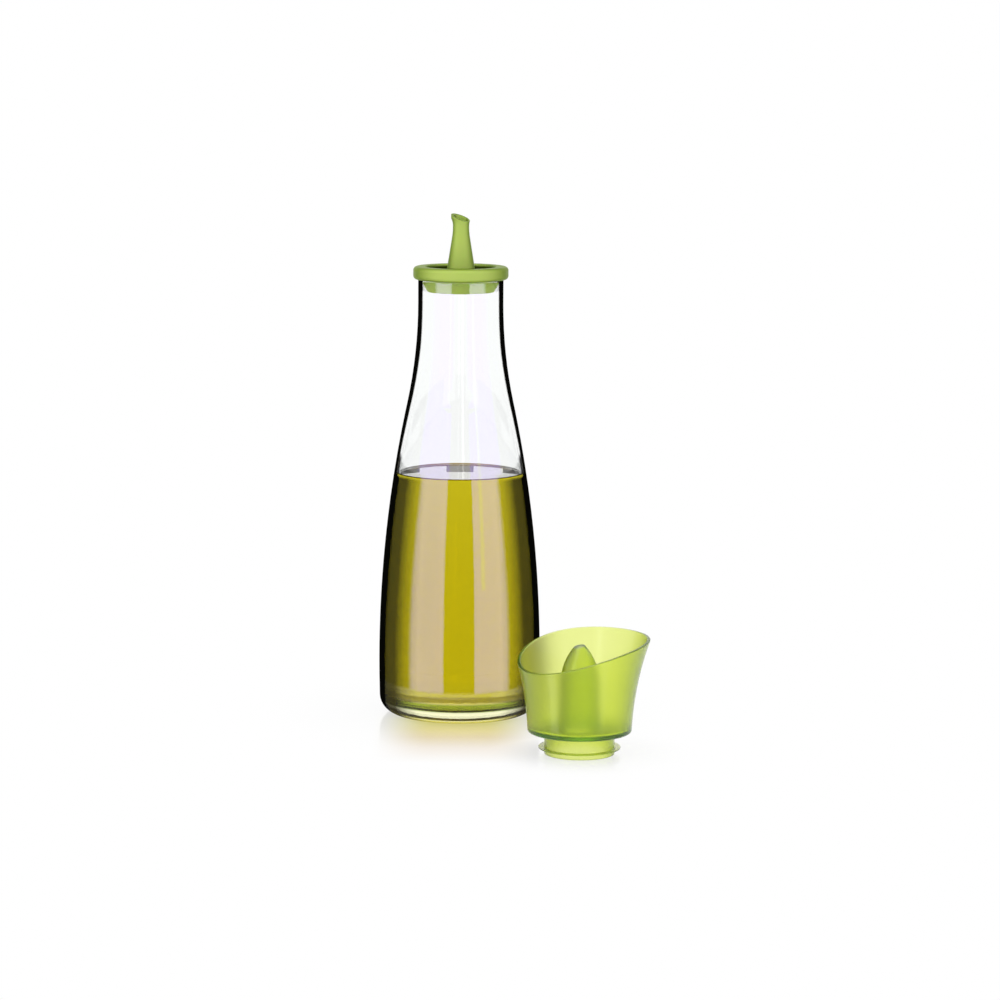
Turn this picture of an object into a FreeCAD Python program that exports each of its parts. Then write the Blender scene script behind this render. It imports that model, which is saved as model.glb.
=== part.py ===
import FreeCAD, Part
import math
import os

# An oil cruet: a clear glass bottle, the oil in it, a moulded pourer pushed into its neck, and the
# cap, which stands beside the bottle. Millimetres, +Z up, origin at the centre of the bottle's base.

# The glass bottle
belly_r = 37.6           # widest outside radius
belly_z = 24.5           # height of the widest place
neck_r = 19.7            # outside radius of the straight neck
neck_z = 192.0           # height at which the neck becomes straight
glass_h = 203.0          # height of the glass rim
body_arc_share = 0.725   # share of the side's curve that is the convex body; the rest is the shoulder
glass_wall = 2.0         # thickness of the side wall
floor_t = 7.0            # thickness of the glass floor
heel_r = 8.6             # rounding of the outside bottom edge
inner_heel_r = 8.0       # rounding of the inside bottom corner
glass_rim_round = 0.6    # rounding of both edges of the rim

# The oil
oil_z = 113.3            # level of the oil

# The pourer: a ring that sits on the glass rim, a dish inside it, and a spout that rises from the dish
ring_overhang = 2.3      # how far the ring stands out past the neck
ring_h = 6.0             # height of the ring above the glass rim
ring_round = 1.8         # rounding of the ring's two outside edges
mouth_round = 0.7        # rounding of the edge between the ring's top and its mouth
skirt_gap = 0.1          # clearance between the pourer's skirt and the glass
skirt_h = 1.7            # straight length of the skirt below the glass rim
skirt_wall = 1.5         # thickness between the skirt and the mouth
dish_depth = 10.6        # from the ring's top down to the dish's floor
dish_floor_t = 1.1       # thickness of the dish's floor
dish_wall = 0.9          # thickness of the dish's tapered wall
dish_taper = 2.3         # how much narrower the dish is at its floor than at its skirt
dish_round = 1.2         # rounding of the dish's outside bottom edge
spout_h = 24.2           # height of the spout's beak above the ring's top
spout_r = 3.75           # outside radius of the spout's straight upper part
bore_r = 3.2             # radius of its channel there
spout_taper = 0.16       # gain of the outside radius per millimetre down the taper
bore_taper = 0.135       # gain of the channel's radius per millimetre down the taper
taper_top = 15.8         # height above the ring's top at which the taper ends
taper_blend = 28.0       # radius that blends the taper into the straight part
beak_r = 4.6             # outside radius of the spout's lip
beak_start = 5.5         # where the lip begins to flare, below the beak's top
beak_flare_r = 7.4       # radius of that flare
beak_azimuth = 146.0     # direction of the beak, degrees from +X towards +Y
beak_slope = 22.6        # slope of the spout's cut, degrees

# The cap: a flared cup with a slanted, bowed rim, a hollow cone inside it that covers the spout, and a
# plug below it that fits in the pourer's mouth
cap_x = 54.4             # place of the cap's axis beside the bottle
cap_y = -90.2
plug_gap = 0.5           # clearance between the plug and the pourer's mouth
plug_h = 9.7             # height of the plug, from its foot to the cup's underside
cap_wall = 1.4           # thickness of the cup, the cone and the plug
lip_reach = 2.6          # how far the plug's sealing lip stands out
lip_z = 2.5              # height of the lip's underside
lip_t = 0.45             # thickness of the lip
cup_r = 23.0             # outside radius of the cup's side at its narrowest
cup_floor_t = 1.6        # thickness of the cup's floor
cup_edge_round = 1.2     # rounding of the cup's lower outside edge
cup_corner_round = 2.5   # rounding between the cup's floor and its wall
flare_z = 4.0            # height of that narrowest place, which is below the cup's floor
flare_r = 144.0          # radius of the arc in which the cup's side flares up from there
rim_top = 51.9           # height of the highest line of the rim's bow
rim_bow_r = 144.0        # radius of the bow
rim_offset = 32.9        # distance of the bow's highest line from the cap's axis
rim_azimuth = 34.5       # direction in which the rim rises, degrees from +X towards +Y
cone_top = 49.4          # height of the cone's tip
cone_r = 8.6             # outside radius of the cone where its nose begins
cone_foot_r = 9.2        # outside radius of the cone at the cup's floor
cone_nose_h = 17.8       # length of the nose
nose_arc_r = 25.2        # radius of the nose's side
cone_foot_round = 1.2    # rounding between the cone and the cup's floor
cap_rim_round = 0.4      # rounding of the rim's edges

# Worked out from the sizes above
ring_top = glass_h + ring_h
ring_r = neck_r + ring_overhang
skirt_r = neck_r - glass_wall - skirt_gap
mouth_r = skirt_r - skirt_wall
dish_floor_z = ring_top - dish_depth
beak_top = ring_top + spout_h
plug_r = mouth_r - plug_gap
lip_r = plug_r + lip_reach
cup_floor_z = plug_h + cup_floor_t
beyond = 1.0             # how far a cutting solid runs past what it cuts

AXIS = FreeCAD.Vector(0, 0, 1)


def at(r, z):
    """A point of an outline that is turned about the Z axis."""
    return FreeCAD.Vector(r, 0, z)


def arc(centre, radius, start, end):
    """The shorter arc about a centre, from the direction of one point to the direction of another."""
    a = math.atan2(start.z - centre.z, start.x - centre.x)
    b = math.atan2(end.z - centre.z, end.x - centre.x)
    if b - a > math.pi:
        b -= 2 * math.pi
    if a - b > math.pi:
        b += 2 * math.pi
    points = [centre + at(radius * math.cos(t), radius * math.sin(t)) for t in (a, (a + b) / 2, b)]
    return Part.Arc(*points).toShape()


def turned(outline):
    """The solid of revolution of a closed outline, given as points to join by lines and as edges."""
    edges = []
    last = None
    for item in outline:
        edge = item if isinstance(item, Part.Edge) else None
        start = edge.firstVertex(True).Point if edge else item
        if last is not None and last.distanceToPoint(start) > 1e-6:
            edges.append(Part.LineSegment(last, start).toShape())
        if edge:
            edges.append(edge)
        last = edge.lastVertex(True).Point if edge else item
    first = outline[0]
    start = first.firstVertex(True).Point if isinstance(first, Part.Edge) else first
    edges.append(Part.LineSegment(last, start).toShape())
    face = Part.Face(Part.Wire(edges))
    return face.revolve(FreeCAD.Vector(0, 0, 0), AXIS, 360)


def rounded(solid, rounds):
    """Fillet the circular edges at given radii and heights: a list of (r, z, fillet radius)."""
    for r, z, fillet in rounds:
        found = [edge for edge in solid.Edges if is_circle(edge, r, z)]
        solid = solid.makeFillet(fillet, found)
    return solid


def is_circle(edge, r, z):
    """True for a circular edge of this radius whose centre is at this height."""
    if edge.Degenerated or edge.Curve.TypeId != "Part::GeomCircle":
        return False
    return abs(edge.Curve.Radius - r) < 0.01 and abs(edge.Curve.Center.z - z) < 0.01


# ---------------------------------------------------------------------------------------------- bottle

def side_arcs():
    """Centres and radii of the body's convex arc and the shoulder's concave one, which meet tangent."""
    rise = neck_z - belly_z
    narrowing = belly_r - neck_r
    both = (rise ** 2 + narrowing ** 2) / (2 * narrowing)
    body = both * body_arc_share
    shoulder = both - body
    return at(belly_r - body, belly_z), body, at(neck_r + shoulder, neck_z), shoulder


def side(inset, bottom, top):
    """The bottle's side outline, moved inwards, from one height to another above the neck's start."""
    body_centre, body, shoulder_centre, shoulder = side_arcs()
    meet = body_centre + (shoulder_centre - body_centre) * body_arc_share
    body = body - inset
    shoulder = shoulder + inset
    foot = at(body_centre.x + math.sqrt(body ** 2 - (bottom - belly_z) ** 2), bottom)
    return [
        arc(body_centre, body, foot, meet),
        arc(shoulder_centre, shoulder, meet, at(neck_r, neck_z)),
        at(neck_r - inset, top),
    ]


def vessel(inset, bottom, top, heel):
    """The solid inside the bottle's side outline, with a rounded bottom edge."""
    outline = side(inset, bottom, top)
    foot = outline[0].firstVertex(True).Point
    solid = turned([at(0, bottom)] + outline + [at(0, top)])
    return rounded(solid, [(foot.x, bottom, heel)])


def cavity():
    return vessel(glass_wall, floor_t, glass_h + beyond, inner_heel_r)


def bottle():
    outside = vessel(0, 0, glass_h, heel_r)
    glass = outside.cut(cavity())
    edges = [(neck_r, glass_h, glass_rim_round), (neck_r - glass_wall, glass_h, glass_rim_round)]
    return rounded(glass, edges)


def oil():
    depth = Part.makeCylinder(belly_r, oil_z)
    return cavity().common(depth)


# ---------------------------------------------------------------------------------------------- pourer

def spout_side(radius, taper, bottom):
    """A taper that ends at taper_top and blends into a straight upper part, from a height upwards."""
    knee = ring_top + taper_top
    reach = taper_blend * math.tan(math.atan(taper) / 2)
    slope = math.atan(taper)
    lower = at(radius + taper * (knee - bottom), bottom)
    start = at(radius + reach * math.sin(slope), knee - reach * math.cos(slope))
    end = at(radius, knee + reach)
    return [lower, arc(at(radius + taper_blend, knee + reach), taper_blend, start, end)]


def beak():
    """The flared lip: an arc out to its full radius, then straight up past the cut."""
    start = at(spout_r, beak_top - beak_start)
    centre = at(spout_r + beak_flare_r, start.z)
    out = beak_r - spout_r
    rise = math.sqrt(beak_flare_r ** 2 - (beak_flare_r - out) ** 2)
    return [arc(centre, beak_flare_r, start, at(beak_r, start.z + rise)), at(beak_r, beak_top + beyond)]


def pourer_cut():
    """The space above the spout's slanted cut, as one box turned to the beak's azimuth."""
    size = 4 * ring_r
    box = Part.makeBox(size, size, size, FreeCAD.Vector(-size / 2, -size / 2, 0))
    box.rotate(FreeCAD.Vector(0, 0, 0), FreeCAD.Vector(0, 1, 0), -beak_slope)
    box.rotate(FreeCAD.Vector(0, 0, 0), AXIS, beak_azimuth)
    axis_z = beak_top - beak_r * math.tan(math.radians(beak_slope))
    box.translate(FreeCAD.Vector(0, 0, axis_z))
    return box


def pourer():
    floor_z = dish_floor_z - dish_floor_t
    skirt_z = glass_h - skirt_h
    dish_r = skirt_r - dish_taper
    lean = math.atan(dish_taper / (skirt_z - floor_z))
    inner_dish_r = dish_r - dish_wall / math.cos(lean) + dish_floor_t * math.tan(lean)
    turn_z = dish_floor_z + (mouth_r - inner_dish_r) / math.tan(lean)
    outline = [
        at(ring_r, glass_h), at(ring_r, ring_top),
        at(mouth_r, ring_top), at(mouth_r, turn_z), at(inner_dish_r, dish_floor_z),
    ]
    outline += spout_side(spout_r, spout_taper, dish_floor_z)
    outline += beak()
    channel = spout_side(bore_r, bore_taper, floor_z)
    outline += [at(bore_r, beak_top + beyond), channel[1].reversed(), channel[0]]
    outline += [at(dish_r, floor_z), at(skirt_r, skirt_z), at(skirt_r, glass_h)]
    solid = turned(outline).cut(pourer_cut())
    return rounded(solid, [
        (ring_r, ring_top, ring_round),
        (ring_r, glass_h, ring_round),
        (mouth_r, ring_top, mouth_round),
        (dish_r, floor_z, dish_round),
    ])


# ------------------------------------------------------------------------------------------------- cap

def nose(radius, top):
    """The cone's nose: a long arc from the cone's side, and a small one over the tip."""
    base_z = cone_top - cone_nose_h
    inset = cone_r - radius
    side_radius = nose_arc_r - inset
    side_centre = at(radius - side_radius, base_z)
    rise = top - base_z
    # the tip's arc is centred on the axis and touches the side's arc from within
    gap = side_centre.x ** 2 - side_radius ** 2 + rise ** 2
    tip_radius = gap / (2 * (rise - side_radius))
    tip_centre = at(0, top - tip_radius)
    direction = tip_centre - side_centre
    meet = tip_centre + direction * (tip_radius / direction.Length)
    return [arc(side_centre, side_radius, at(radius, base_z), meet),
            arc(tip_centre, tip_radius, meet, at(0, top))]


def cup_side(inset, height):
    """The radius of the cup's side at a height, moved inwards."""
    return cup_r + flare_r - math.sqrt((flare_r + inset) ** 2 - (height - flare_z) ** 2)


def flare(inset, bottom, top):
    """The cup's side, moved inwards, from one height to another."""
    start = at(cup_side(inset, bottom), bottom)
    end = at(cup_side(inset, top), top)
    return arc(at(cup_r + flare_r, flare_z), flare_r + inset, start, end)


def cap_keep():
    """The space under the rim's bow: a horizontal cylinder, across the way in which the rim rises."""
    length = 4 * cup_r
    across = FreeCAD.Vector(0, 1, 0)
    start = FreeCAD.Vector(rim_offset, -length / 2, rim_top - rim_bow_r)
    keep = Part.makeCylinder(rim_bow_r, length, start, across)
    keep.rotate(FreeCAD.Vector(0, 0, 0), AXIS, rim_azimuth)
    return keep


def cap():
    above = rim_top + beyond
    inner_plug_r = plug_r - cap_wall
    outline = [
        at(inner_plug_r, 0), at(plug_r, 0),
        at(plug_r, lip_z), at(lip_r, lip_z), at(lip_r, lip_z + lip_t), at(plug_r, lip_z + lip_t),
        at(plug_r, plug_h),
        flare(0, plug_h, above), flare(cap_wall, cup_floor_z, above).reversed(),
        at(cone_foot_r, cup_floor_z),
    ]
    outline += nose(cone_r, cone_top)
    outline += [edge.reversed() for edge in reversed(nose(cone_r - cap_wall, cone_top - cap_wall))]
    outline += [at(cone_foot_r - cap_wall, plug_h), at(inner_plug_r, plug_h)]
    solid = turned(outline)
    solid = rounded(solid, [
        (cup_side(0, plug_h), plug_h, cup_edge_round),
        (cup_side(cap_wall, cup_floor_z), cup_floor_z, cup_corner_round),
        (cone_foot_r, cup_floor_z, cone_foot_round),
    ])
    solid = solid.common(cap_keep())
    # the rim's edges are the ones that slant and reach across the cup
    boxes = [(edge, edge.BoundBox) for edge in solid.Edges]
    rim = [edge for edge, box in boxes if box.ZLength > 1 and box.XLength > 2 * cone_r]
    solid = solid.makeFillet(cap_rim_round, rim)
    solid.translate(FreeCAD.Vector(cap_x, cap_y, 0))
    return solid


def main():
    os.makedirs("parts", exist_ok=True)
    for build in (bottle, oil, pourer, cap):
        shape = build()
        solids = shape.Solids
        if len(solids) != 1 or not shape.isValid():
            raise ValueError(build.__name__ + " isn't one valid solid")
        solids[0].exportStep("parts/" + build.__name__ + ".step")
        print(build.__name__, round(solids[0].Volume), "mm3")


main()
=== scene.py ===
import bpy
import math
from mathutils import Matrix, Vector


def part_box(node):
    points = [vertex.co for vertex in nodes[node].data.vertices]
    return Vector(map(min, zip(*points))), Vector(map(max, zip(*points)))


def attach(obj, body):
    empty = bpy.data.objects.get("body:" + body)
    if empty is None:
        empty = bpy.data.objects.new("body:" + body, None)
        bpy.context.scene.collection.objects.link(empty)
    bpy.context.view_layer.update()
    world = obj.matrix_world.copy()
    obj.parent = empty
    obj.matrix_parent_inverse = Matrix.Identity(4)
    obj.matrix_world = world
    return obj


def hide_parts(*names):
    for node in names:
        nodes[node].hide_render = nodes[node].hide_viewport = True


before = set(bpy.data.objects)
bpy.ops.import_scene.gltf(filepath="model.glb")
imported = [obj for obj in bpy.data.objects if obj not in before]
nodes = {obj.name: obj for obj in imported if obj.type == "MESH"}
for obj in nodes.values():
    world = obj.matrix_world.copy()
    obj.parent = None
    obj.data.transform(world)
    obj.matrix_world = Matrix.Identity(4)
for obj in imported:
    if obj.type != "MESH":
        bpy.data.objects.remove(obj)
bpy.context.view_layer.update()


def rgb(red, green, blue):
    return (red, green, blue, 1.0)


MM = 0.001
WHITE = rgb(1, 1, 1)
BLACK = rgb(0, 0, 0)
GREY = rgb(0.5, 0.5, 0.5)

# ----------------------------------------------------------------------------------------- sizes
# The bottle's inner wall, the level of the oil and the pourer, as in the CAD source

BELLY_R, BELLY_Z = 37.6 * MM, 24.5 * MM
NECK_R, NECK_Z = 19.7 * MM, 192.0 * MM
BODY_ARC_SHARE = 0.725      # of the rise from belly to neck, the part that bulges
GLASS_WALL = 2.0 * MM
FLOOR_T = 7.0 * MM
INNER_HEEL_R = 8.0 * MM
OIL_Z = 113.3 * MM
RING_TOP = 209.0 * MM
MOUTH_R = 16.1 * MM

OIL_IN_WALL = 0.15 * MM     # how far the oil piece reaches into the glass
MENISCUS_H = 0.7 * MM       # how far the oil climbs the glass
MENISCUS_W = 1.4 * MM

# steps of the oil's outline, from the middle of its floor to the middle of its surface
FLOOR_STEPS, HEEL_STEPS, SIDE_STEPS, MENISCUS_STEPS, SURFACE_STEPS = 12, 24, 64, 24, 20
TURN_STEPS = 256
PANEL_STEPS = 24

# --------------------------------------------------------------------------------- looks of glass

NORMAL_LEAN = 0.35
# A normal that leans this little outwards is only noise on the flat underside
OUTWARD_NOISE = 0.5 * MM

# heights where each painted colour of the base starts and where it is full: a painted reflection of
# the oil, then painted light at the heel
OLIVE_FROM, OLIVE_TO = 11.0 * MM, 9.8 * MM
CREAM_FROM, CREAM_TO = 6.9 * MM, 6.1 * MM
GLASS_TINT = rgb(0.985, 0.995, 0.99)
# painted olive reflection of the oil, and painted cream light at the heel
OLIVE_PAINTED_REFLECTION = rgb(0.18, 0.31, 0.0005)
CREAM_PAINTED_LIGHT = rgb(1.0, 0.98, 0.42)

# how edge-on the painted black line starts: just above the oil, at the neck, and beside the oil
LINE_LOW_Z, LINE_HIGH_Z = 118 * MM, 172 * MM
LINE_LOW, LINE_HIGH, LINE_FILLED = 0.70, 0.55, 0.565
LINE_SOFT, LINE_SOFT_FILLED = 0.025, 0.02      # the second is added beside the oil
LINE_PAINTED_SHADE = rgb(0.002, 0.002, 0.0015)
# the painted dark bands beside the oil, painted shade
SHADE_FROM, SHADE_TO, SHADE_MOST = 0.15, 0.40, 0.93
BAND_PAINTED_SHADE = rgb(0.036, 0.030, 0.008)

# --------------------------------------------------------------------------- looks of the plastics

FROSTED_FACE = rgb(0.485, 0.615, 0.135)
FROSTED_EDGE = rgb(0.160, 0.240, 0.006)
# painted shade in the dish
DISH_PAINTED_SHADE = rgb(0.035, 0.055, 0.002)
# painted light on the skirt in the neck
SKIRT_PAINTED_LIGHT = rgb(0.70, 0.90, 0.20)

# ------------------------------------------------------------------------------------- the stage

FLOOR_HALF, FLOOR_Z = 3.0, -0.0001
# how near to the bottle and to the cap the floor shows them, from fully to not at all
NEAR_BOTTLE, NEAR_CAP = (28 * MM, 110 * MM), (14 * MM, 55 * MM)
SHADOW_SHARE, MIRROR_SHARE = 0.12, 0.22
GLOW_SIDE = (12 * MM, 40 * MM)
# painted colours of the light that has come through the oil, by distance in front of the bottle's
# axis
GLOW = (
    (0, WHITE),
    (20 * MM, rgb(0.95, 0.90, 0.30)),
    (40 * MM, rgb(0.90, 0.80, 0.32)),
    (58 * MM, rgb(0.84, 0.72, 0.46)),
    (80 * MM, rgb(0.92, 0.85, 0.76)),
    (112 * MM, WHITE),
)
GLOW_SCALE = 5.0            # per metre, so that the colour ramp covers 200 mm

FOCAL_LENGTH, SENSOR_WIDTH = 122.4, 36         # millimetres
CAMERA_PITCH, CAMERA_ROLL = math.radians(8.2), math.radians(0.30)
CAMERA_TARGET = (18.6 * MM, 0, 100.15 * MM)
CAMERA_DISTANCE = 1.5844


# ---------------------------------------------------------------------------------- node helpers

class Nodes:
    """A node tree being built."""

    def __init__(self, tree):
        self.tree = tree
        tree.nodes.clear()

    def add(self, kind, values=None, **settings):
        node = self.tree.nodes.new(kind)
        for key, value in settings.items():
            setattr(node, key, value)
        for key, value in (values or {}).items():
            self.put(node.inputs[key], value)
        return node

    def put(self, socket, value):
        """Link another node's output to a socket, or set a constant on it."""
        if isinstance(value, bpy.types.NodeSocket):
            self.tree.links.new(value, socket)
        else:
            socket.default_value = value

    def math(self, operation, *values):
        return self.add("ShaderNodeMath", dict(enumerate(values)), operation=operation).outputs[0]

    def vector(self, operation, *values):
        node = self.add("ShaderNodeVectorMath", dict(enumerate(values)), operation=operation)
        scalar = operation in ("LENGTH", "DISTANCE", "DOT_PRODUCT")
        return node.outputs["Value" if scalar else "Vector"]

    def ramp(self, value, start, end, low=0.0, high=1.0, **settings):
        """From low at start to high at end, and level outside them."""
        node = self.add("ShaderNodeMapRange", {
            "Value": value, "From Min": start, "From Max": end, "To Min": low, "To Max": high},
            **settings)
        return node.outputs[0]

    def fade(self, value, start, end, low=0.0, high=1.0):
        """The same, but with a smooth change between them."""
        return self.ramp(value, start, end, low, high, interpolation_type="SMOOTHSTEP")

    def between(self, factor, a, b):
        """A colour between two colours."""
        node = self.add("ShaderNodeMix", data_type="RGBA")
        # a mix of colours has its own factor and colour sockets
        for index, value in ((0, factor), (6, a), (7, b)):
            self.put(node.inputs[index], value)
        return node.outputs[2]

    def blend(self, factor, first, second):
        """A shader between two shader nodes."""
        mix = self.add("ShaderNodeMixShader", {
            0: factor, 1: first.outputs[0], 2: second.outputs[0]})
        return mix

    def seen(self):
        """1 for what the camera sees, also in or through something clear, and 0 for lighting."""
        path = self.add("ShaderNodeLightPath")
        seen = self.math("MAXIMUM", path.outputs["Is Camera Ray"], path.outputs["Is Glossy Ray"])
        return self.math("MAXIMUM", seen, path.outputs["Is Transmission Ray"])


def material(name):
    made = bpy.data.materials.new(name)
    made.use_nodes = True
    return made, Nodes(made.node_tree)


def object_place(n):
    """The place on the piece, as a vector and as its height."""
    place = n.add("ShaderNodeTexCoord").outputs["Object"]
    return place, n.add("ShaderNodeSeparateXYZ", {0: place}).outputs["Z"]


# ------------------------------------------------------------------------------------- materials

def edge_view(n):
    """How edge-on the surface is seen, and whether it is the outside, entered from the air.

    Its normal is leant upwards, so that a view from above counts less.
    """
    geometry = n.add("ShaderNodeNewGeometry")
    level = n.vector("MULTIPLY", geometry.outputs["Normal"], (1, 1, 0))
    normal = n.vector("NORMALIZE", n.vector("ADD", level, (0, 0, NORMAL_LEAN)))
    layer = n.add("ShaderNodeLayerWeight", {"Blend": 0.5, "Normal": normal})
    outwards = n.vector("DOT_PRODUCT", level, geometry.outputs["Position"])
    outside = n.math("GREATER_THAN", outwards, OUTWARD_NOISE)
    entering = n.math("SUBTRACT", 1.0, geometry.outputs["Backfacing"])
    return layer.outputs["Facing"], n.math("MULTIPLY", outside, entering)


def clear_glass():
    """Clear, with a painted black line where it is seen edge-on and painted dark bands beside the
    oil: painted shade for the dark surroundings that the glass bends into view.
    """
    made, n = material("clear_glass")
    facing, outer = edge_view(n)
    height = object_place(n)[1]
    # the thick base is painted with the light seen in it: a painted olive reflection of the oil by
    # the oil's floor, painted cream light at the heel
    olive = n.math("MULTIPLY", outer, n.fade(height, OLIVE_FROM, OLIVE_TO))
    cream = n.math("MULTIPLY", outer, n.fade(height, CREAM_FROM, CREAM_TO))
    glass_tint_and_painted_light = n.between(olive, GLASS_TINT, OLIVE_PAINTED_REFLECTION)
    glass_tint_and_painted_light = n.between(cream, glass_tint_and_painted_light, CREAM_PAINTED_LIGHT)
    glass = n.add("ShaderNodeBsdfPrincipled", {
        "Base Color": glass_tint_and_painted_light, "Roughness": 0.0, "IOR": 1.5, "Transmission Weight": 1.0})
    filled = n.fade(height, OIL_Z + 0.5 * MM, OIL_Z - 1.5 * MM)
    # the painted black line is thinnest just above the oil
    middle = n.ramp(height, LINE_LOW_Z, LINE_HIGH_Z, LINE_LOW, LINE_HIGH)
    middle = n.math("MULTIPLY_ADD", filled, n.math("SUBTRACT", LINE_FILLED, middle), middle)
    width = n.math("MULTIPLY_ADD", filled, LINE_SOFT_FILLED, LINE_SOFT)
    start, end = n.math("SUBTRACT", middle, width), n.math("ADD", middle, width)
    line = n.fade(facing, start, end)
    shade = n.ramp(facing, SHADE_FROM, SHADE_TO, 0.0, SHADE_MOST)
    rim = n.math("MAXIMUM", line, n.math("MULTIPLY", shade, filled))
    # painted shade: black on the line, dark olive in the bands
    colour = n.between(line, BAND_PAINTED_SHADE, LINE_PAINTED_SHADE)
    dark = n.add("ShaderNodeBsdfPrincipled", {
        "Base Color": colour, "Roughness": 0.4, "Specular IOR Level": 0.0})
    mix = n.blend(n.math("MULTIPLY", rim, outer), glass, dark)
    n.add("ShaderNodeOutputMaterial", {"Surface": mix.outputs[0]})
    return made


def oil_liquid(name, coat):
    made, n = material(name)
    liquid = n.add("ShaderNodeBsdfPrincipled", {
        "Base Color": WHITE, "Roughness": 0.0, "IOR": 1.47, "Transmission Weight": 1.0,
        "Coat Weight": coat, "Coat Roughness": 0.0, "Coat IOR": 2.0})
    absorb = n.add("ShaderNodeVolumeAbsorption", {
        "Color": rgb(0.90, 0.858, 0.001), "Density": 70.0})
    n.add("ShaderNodeOutputMaterial", {
        "Surface": liquid.outputs[0], "Volume": absorb.outputs[0]})
    return made


def frosted_plastic():
    """Moulded, dull and translucent: darker where it is seen edge-on, with painted shade down in
    the dish and painted light on the skirt.
    """
    made, n = material("frosted_green_plastic")
    layer = n.add("ShaderNodeLayerWeight", {"Blend": 0.5})
    edge = n.fade(layer.outputs["Facing"], 0.05, 0.65)
    grain = n.add("ShaderNodeTexNoise", {"Scale": 900.0, "Detail": 3.0, "Roughness": 0.6})
    colour = n.between(edge, FROSTED_FACE, FROSTED_EDGE)
    place, height = object_place(n)
    radius = n.vector("LENGTH", n.vector("MULTIPLY", place, (1, 1, 0)))
    # painted shade in the dish: below the ring's top, within its mouth and above the skirt's end
    deep = n.fade(height, RING_TOP - 0.2 * MM, RING_TOP - 1.4 * MM)
    within = n.fade(radius, MOUTH_R + 0.6 * MM, MOUTH_R + 0.1 * MM)
    above = n.fade(height, RING_TOP - 11 * MM, RING_TOP - 10.4 * MM)
    inside = n.math("MULTIPLY", n.math("MULTIPLY", deep, within), above)
    colour = n.between(inside, colour, DISH_PAINTED_SHADE)
    # the skirt in the neck is lit through the glass; its paler colour is painted light
    below = n.fade(height, RING_TOP - 6.0 * MM, RING_TOP - 6.5 * MM)
    skirt = n.math("MULTIPLY", below, n.fade(radius, 9 * MM, 11 * MM))
    colour = n.between(skirt, colour, SKIRT_PAINTED_LIGHT)
    bump = n.add("ShaderNodeBump", {
        "Strength": 0.08, "Distance": 0.0002, "Height": grain.outputs["Fac"]})
    rough = n.math("MULTIPLY_ADD", grain.outputs["Fac"], 0.10, 0.36)
    plastic = n.add("ShaderNodeBsdfPrincipled", {
        "Base Color": colour, "Roughness": rough, "IOR": 1.49, "Normal": bump.outputs[0],
        "Specular IOR Level": 0.12, "Subsurface Weight": 0.25,
        "Subsurface Radius": (0.6, 1.0, 0.2), "Subsurface Scale": 0.002})
    n.add("ShaderNodeOutputMaterial", {"Surface": plastic.outputs[0]})
    return made


def clear_plastic():
    """See-through but hazy, and deeper in colour where it is thicker."""
    made, n = material("clear_green_plastic")
    haze = n.add("ShaderNodeTexNoise", {"Scale": 60.0, "Detail": 2.0})
    rough = n.math("MULTIPLY_ADD", haze.outputs["Fac"], 0.06, 0.30)
    plastic = n.add("ShaderNodeBsdfPrincipled", {
        "Base Color": WHITE, "Roughness": rough, "IOR": 1.44, "Transmission Weight": 1.0,
        "Coat Weight": 0.3, "Coat Roughness": 0.06})
    absorb = n.add("ShaderNodeVolumeAbsorption", {
        "Color": rgb(0.893, 0.954, 0.001), "Density": 850.0})
    n.add("ShaderNodeOutputMaterial", {
        "Surface": plastic.outputs[0], "Volume": absorb.outputs[0]})
    return made


def dress(name, made):
    """Give a CAD node one material."""
    data = nodes[name].data
    data.materials.clear()
    data.materials.append(made)


# -------------------------------------------------------------------------------------- geometry

def on_arc(centre, radius, start, end, steps):
    """Points of an arc in the (r, z) plane, between two angles."""
    angles = [start + (end - start) * i / steps for i in range(steps + 1)]
    return [(centre[0] + radius * math.cos(a), centre[1] + radius * math.sin(a)) for a in angles]


def inner_wall(inset, bottom, top, heel):
    """The (r, z) outline of the bottle's inside, moved in by inset, up to a level."""
    rise = NECK_Z - BELLY_Z
    narrowing = BELLY_R - NECK_R
    radius = (rise ** 2 + narrowing ** 2) / (2 * narrowing) * BODY_ARC_SHARE
    centre = (BELLY_R - radius, BELLY_Z)
    side = radius - inset
    # the heel's arc touches the floor and the side
    heel_z = bottom + heel
    heel_r = centre[0] + math.sqrt((side - heel) ** 2 - (heel_z - centre[1]) ** 2)
    meet = math.atan2(heel_z - centre[1], heel_r - centre[0])
    points = [(heel_r * i / FLOOR_STEPS, bottom) for i in range(FLOOR_STEPS)]
    points += on_arc((heel_r, heel_z), heel, -math.pi / 2, meet, HEEL_STEPS)
    points += on_arc(centre, side, meet, math.asin((top - centre[1]) / side), SIDE_STEPS)[1:]
    return points


def add_object(name, verts, faces):
    """A new mesh object in the scene."""
    mesh = bpy.data.meshes.new(name)
    mesh.from_pydata(verts, [], faces)
    made = bpy.data.objects.new(name, mesh)
    bpy.context.scene.collection.objects.link(made)
    return made


def lathe(name, outline):
    """A mesh turned about the Z axis from an (r, z) outline that starts and ends on the axis."""
    verts, faces, rings = [], [], []
    angles = [2 * math.pi * i / TURN_STEPS for i in range(TURN_STEPS)]
    for r, z in outline:
        if r < 1e-9:
            rings.append([len(verts)])
            verts.append((0, 0, z))
        else:
            rings.append(list(range(len(verts), len(verts) + TURN_STEPS)))
            verts += [(r * math.cos(a), r * math.sin(a), z) for a in angles]
    for low, high in zip(rings, rings[1:]):
        for i in range(TURN_STEPS):
            j = (i + 1) % TURN_STEPS
            corners = [low[i % len(low)], low[j % len(low)],
                       high[j % len(high)], high[i % len(high)]]
            faces.append(list(dict.fromkeys(corners)))
    piece = add_object(name, verts, faces)
    piece.data.validate()
    piece.data.shade_smooth()
    return piece


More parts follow.
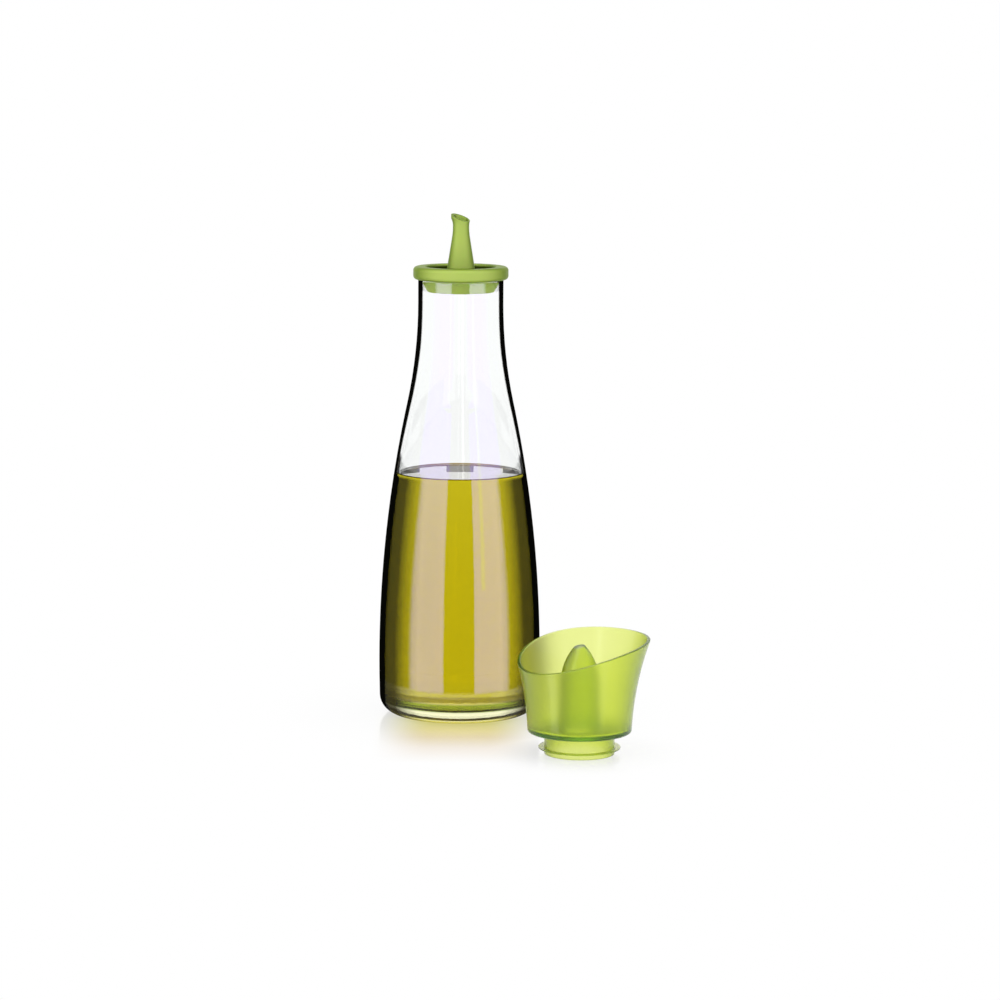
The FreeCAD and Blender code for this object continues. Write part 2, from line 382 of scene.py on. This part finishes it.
def make_oil():
    """The oil: it reaches just into the glass, and climbs the wall in a small meniscus."""
    level = OIL_Z - MENISCUS_H / 2
    top = level + MENISCUS_H
    outline = inner_wall(
        GLASS_WALL - OIL_IN_WALL, FLOOR_T - OIL_IN_WALL, top, INNER_HEEL_R + OIL_IN_WALL)
    wall = outline[-1][0]
    across = [i / MENISCUS_STEPS * MENISCUS_W for i in range(1, MENISCUS_STEPS + 1)]
    outline += [(wall - x, level + MENISCUS_H * (1 - x / MENISCUS_W) ** 3) for x in across]
    outline += [((wall - MENISCUS_W) * (1 - i / SURFACE_STEPS), level)
                for i in range(1, SURFACE_STEPS + 1)]
    oil = lathe("oil_fill", outline)
    oil.data.set_sharp_from_angle(angle=math.radians(40))
    oil.data.materials.append(oil_liquid("oil", 0.0))
    oil.data.materials.append(oil_liquid("oil_surface", 1.0))
    for face in oil.data.polygons:
        face.material_index = int(face.center.z > level - 0.01 * MM and face.normal.z > 0.5)
    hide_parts("oil")
    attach(oil, "root")


# ----------------------------------------------------------------------------------------- stage

def cap_foot():
    low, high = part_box("cap")
    return ((low[0] + high[0]) / 2, (low[1] + high[1]) / 2, 0)


def glow_colour(n, place):
    """White, but in front of the bottle a painted pool of the light that has come through the oil.
    """
    level = n.add("ShaderNodeSeparateXYZ", {0: place})
    sideways = n.math("ABSOLUTE", level.outputs["X"])
    across = n.fade(sideways, *GLOW_SIDE, 1.0, 0.0)
    forwards = n.math("MULTIPLY", level.outputs["Y"], -GLOW_SCALE)
    glow = n.add("ShaderNodeValToRGB", {0: forwards})
    stops = glow.color_ramp.elements
    while len(stops) < len(GLOW):
        stops.new(0.5)
    for stop, (distance, colour) in zip(stops, GLOW):
        stop.position = distance * GLOW_SCALE
        stop.color = colour
    return n.between(across, WHITE, glow.outputs[0])


def make_floor():
    """White, with the soft shadow and reflection of what stands on it, and a painted glow of the
    light through the oil.
    """
    made, n = material("studio_floor")
    place = n.add("ShaderNodeNewGeometry").outputs["Position"]
    near_bottle = n.fade(n.vector("LENGTH", place), *NEAR_BOTTLE, 1.0, 0.0)
    near_cap = n.fade(n.vector("DISTANCE", place, cap_foot()), *NEAR_CAP, 1.0, 0.0)
    near = n.math("MAXIMUM", near_bottle, near_cap)
    # this white holds the painted glow of the light through the oil
    white = n.add("ShaderNodeEmission", {"Color": glow_colour(n, place), "Strength": 1.0})
    matte = n.add("ShaderNodeBsdfDiffuse", {"Color": rgb(0.95, 0.95, 0.95)})
    mirror = n.add("ShaderNodeBsdfGlossy", {"Color": WHITE, "Roughness": 0.12})
    shadow = n.blend(n.math("MULTIPLY", near, SHADOW_SHARE), white, matte)
    share = n.math("MULTIPLY", n.math("MULTIPLY", near, near), MIRROR_SHARE)
    polished = n.blend(share, shadow, mirror)
    mix = n.blend(n.seen(), matte, polished)
    n.add("ShaderNodeOutputMaterial", {"Surface": mix.outputs[0]})
    signs = ((-1, -1), (1, -1), (1, 1), (-1, 1))
    corners = [(x * FLOOR_HALF, y * FLOOR_HALF, 0) for x, y in signs]
    floor = add_object("floor", corners, [(0, 1, 2, 3)])
    floor.data.materials.append(made)
    floor.location.z = FLOOR_Z


def panel_light(name, place, bottom, colour, strength):
    """Light that only reflections show, on the inside of a panel."""
    made, n = material(name)
    path = n.add("ShaderNodeLightPath")
    geometry = n.add("ShaderNodeNewGeometry")
    mirrored = n.math("GREATER_THAN", path.outputs["Glossy Depth"], 0.5)
    if place[:2] == BOTTLE_RING[:2]:
        # only sharp reflections show it, so that the plastics and the floor don't
        mirrored = n.math("MULTIPLY", mirrored, path.outputs["Is Singular Ray"])
        if bottom < OIL_Z / 2:
            # and not after many turns inside the glass and the oil
            shallow = n.math("LESS_THAN", path.outputs["Transmission Depth"], 4.5)
            mirrored = n.math("MULTIPLY", mirrored, shallow)
    inside = n.math("SUBTRACT", 1.0, geometry.outputs["Backfacing"])
    light = n.add("ShaderNodeEmission", {"Color": colour, "Strength": strength})
    clear = n.add("ShaderNodeBsdfTransparent")
    mix = n.blend(n.math("MULTIPLY", mirrored, inside), clear, light)
    n.add("ShaderNodeOutputMaterial", {"Surface": mix.outputs[0]})
    return made


def make_panel(name, ring, directions, heights, colour, strength):
    """A curved panel on a ring, between two directions in degrees from the front."""
    x, y, radius = ring
    start, end = directions
    verts = []
    for i in range(PANEL_STEPS + 1):
        a = math.radians(start + (end - start) * i / PANEL_STEPS)
        verts += [(x + radius * math.sin(a), y - radius * math.cos(a), z) for z in heights]
    faces = [(2 * i, 2 * i + 1, 2 * i + 3, 2 * i + 2) for i in range(PANEL_STEPS)]
    panel = add_object(name, verts, faces)
    panel.data.materials.append(panel_light(name, ring, heights[0], colour, strength))
    panel.visible_camera = False
    panel.visible_diffuse = False
    panel.visible_shadow = False


def make_world():
    world = bpy.data.worlds.new("studio")
    bpy.context.scene.world = world
    world.use_nodes = True
    n = Nodes(world.node_tree)
    ambient = n.add("ShaderNodeBackground", {"Color": WHITE, "Strength": 0.85})
    white = n.add("ShaderNodeBackground", {"Color": WHITE, "Strength": 1.0})
    mix = n.blend(n.seen(), ambient, white)
    n.add("ShaderNodeOutputWorld", {"Surface": mix.outputs[0]})


def make_lamp(name, place, aim, size, power):
    light = bpy.data.lights.new(name, "AREA")
    light.shape = "SQUARE"
    light.size = size
    light.energy = power
    lamp = bpy.data.objects.new(name, light)
    bpy.context.scene.collection.objects.link(lamp)
    lamp.location = place
    lamp.rotation_euler = (Vector(aim) - Vector(place)).to_track_quat("-Z", "Y").to_euler()


def make_camera():
    data = bpy.data.cameras.new("camera")
    data.sensor_width = SENSOR_WIDTH
    data.lens = FOCAL_LENGTH
    camera = bpy.data.objects.new("camera", data)
    bpy.context.scene.collection.objects.link(camera)
    back = Vector((0, -math.cos(CAMERA_PITCH), math.sin(CAMERA_PITCH)))
    tilt = Matrix.Rotation(math.pi / 2 - CAMERA_PITCH, 4, "X")
    turn = tilt @ Matrix.Rotation(CAMERA_ROLL, 4, "Z")
    place = Vector(CAMERA_TARGET) + back * CAMERA_DISTANCE
    camera.matrix_world = Matrix.Translation(place) @ turn
    bpy.context.scene.camera = camera


# Rings that the panels stand on: x and y of the centre, and the radius
BOTTLE_RING = (0, 0, 62 * MM)
WIDE_RING = (0, 0, 200 * MM)
CAP_RING = cap_foot()[:2] + (60 * MM,)

# Bottom and top of the panels
BODY = (9.5 * MM, OIL_Z + 6 * MM)
BODY_LOW = (9.5 * MM, 62 * MM)
BODY_HIGH = (50 * MM, 196 * MM)
SURFACE_BACK = (OIL_Z - 3 * MM, OIL_Z + 7.8 * MM)
SURFACE_SIDE = (OIL_Z - 3 * MM, OIL_Z + 7.5 * MM)
NECK = (194 * MM, 203 * MM)
CAP = (0.5 * MM, 600 * MM)

# violet, which makes the pale stripes of the window reflections when it adds to the oil's olive
SOFTBOX = (rgb(0.45, 0.29, 1.0), 2.5)
NECKBOX = (rgb(0.80, 0.72, 1.0), 4.0)
DARK = (BLACK, 0)

PANELS = (
    ("softbox_left_low", BOTTLE_RING, (-55, -16), BODY_LOW, *SOFTBOX),
    ("softbox_right_low", BOTTLE_RING, (16, 55), BODY_LOW, *SOFTBOX),
    ("softbox_left_high", WIDE_RING, (-74, -18), BODY_HIGH, *SOFTBOX),
    ("softbox_right_high", WIDE_RING, (18, 74), BODY_HIGH, *SOFTBOX),
    ("card_front", BOTTLE_RING, (-16, 16), BODY, *DARK),
    ("card_right", BOTTLE_RING, (55, 125), BODY, *DARK),
    ("card_left", BOTTLE_RING, (235, 305), BODY, *DARK),
    ("card_middle", BOTTLE_RING, (174.5, 187.5), SURFACE_BACK, GREY, 0.6),
    ("card_side_left", BOTTLE_RING, (202, 250), SURFACE_SIDE, GREY, 0.3),
    ("card_side_right", BOTTLE_RING, (110, 158), SURFACE_SIDE, GREY, 0.3),
    ("neck_softbox_left", BOTTLE_RING, (-61, -21), NECK, *NECKBOX),
    ("neck_softbox_right", BOTTLE_RING, (21, 61), NECK, *NECKBOX),
    ("neck_card_front", BOTTLE_RING, (-21, 21), NECK, *DARK),
    ("neck_card_right", BOTTLE_RING, (61, 125), NECK, *DARK),
    ("neck_card_left", BOTTLE_RING, (235, 299), NECK, *DARK),
    ("cap_softbox_left", CAP_RING, (-54, -41), CAP, WHITE, 2.6),
    ("cap_softbox_right", CAP_RING, (28, 40), CAP, WHITE, 1.6),
)

make_oil()
dress("bottle", clear_glass())
dress("pourer", frosted_plastic())
dress("cap", clear_plastic())

make_world()
make_floor()
for panel in PANELS:
    make_panel(*panel)
make_lamp("lamp_top", (-0.5, -0.4, 1.4), (0, 0, 0.1), 1.2, 6)
make_camera()

bpy.context.scene.view_settings.view_transform = "Standard"
